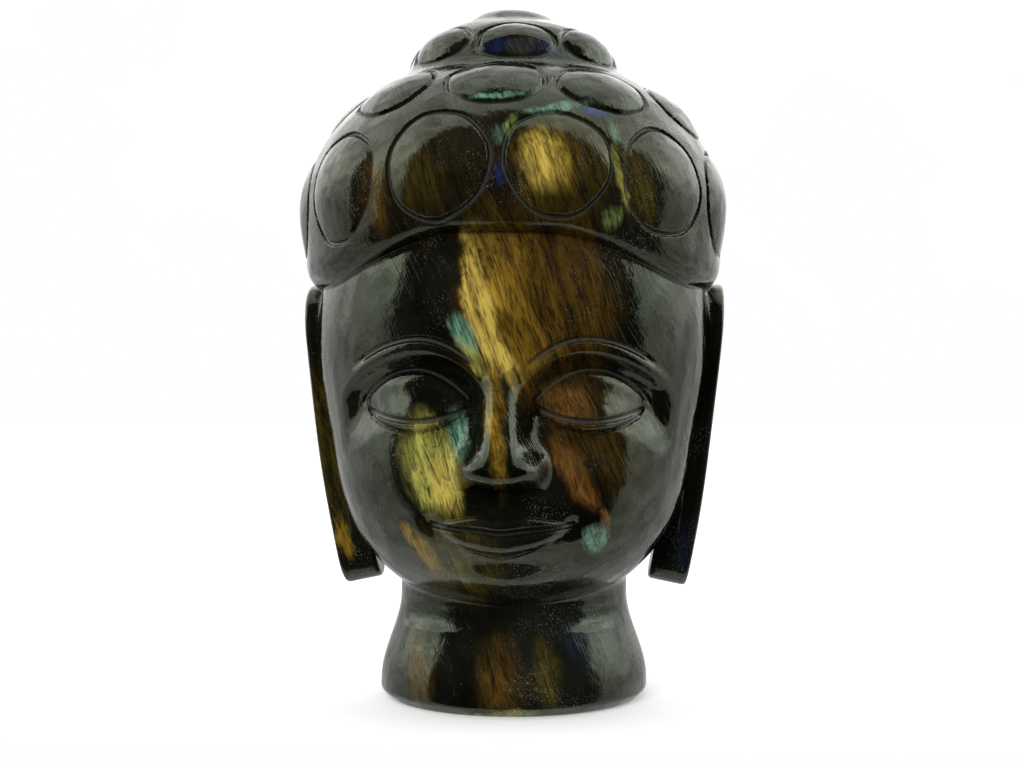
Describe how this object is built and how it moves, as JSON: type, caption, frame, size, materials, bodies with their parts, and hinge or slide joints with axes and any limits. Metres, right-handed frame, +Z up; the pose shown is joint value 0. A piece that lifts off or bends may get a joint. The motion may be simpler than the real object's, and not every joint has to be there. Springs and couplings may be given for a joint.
{
  "type": "carved stone buddha head",
  "caption": "Polished labradorite head of a Buddha in tight round curls with a topknot and long ears, standing on its own flared neck as an ornament.",
  "frame": {"origin": "centre of the flat underside of the neck", "axes": "+Z up through the crown, -Y the way the face looks, +X towards the head's left ear"},
  "size_m": [0.0736, 0.0768, 0.12],
  "materials": {
    "labradorite": "polished dark green-grey stone with gold, green and blue flashes"
  },
  "bodies": {
    "root": {"stone_head": "labradorite"}
  },
  "joints": []
}
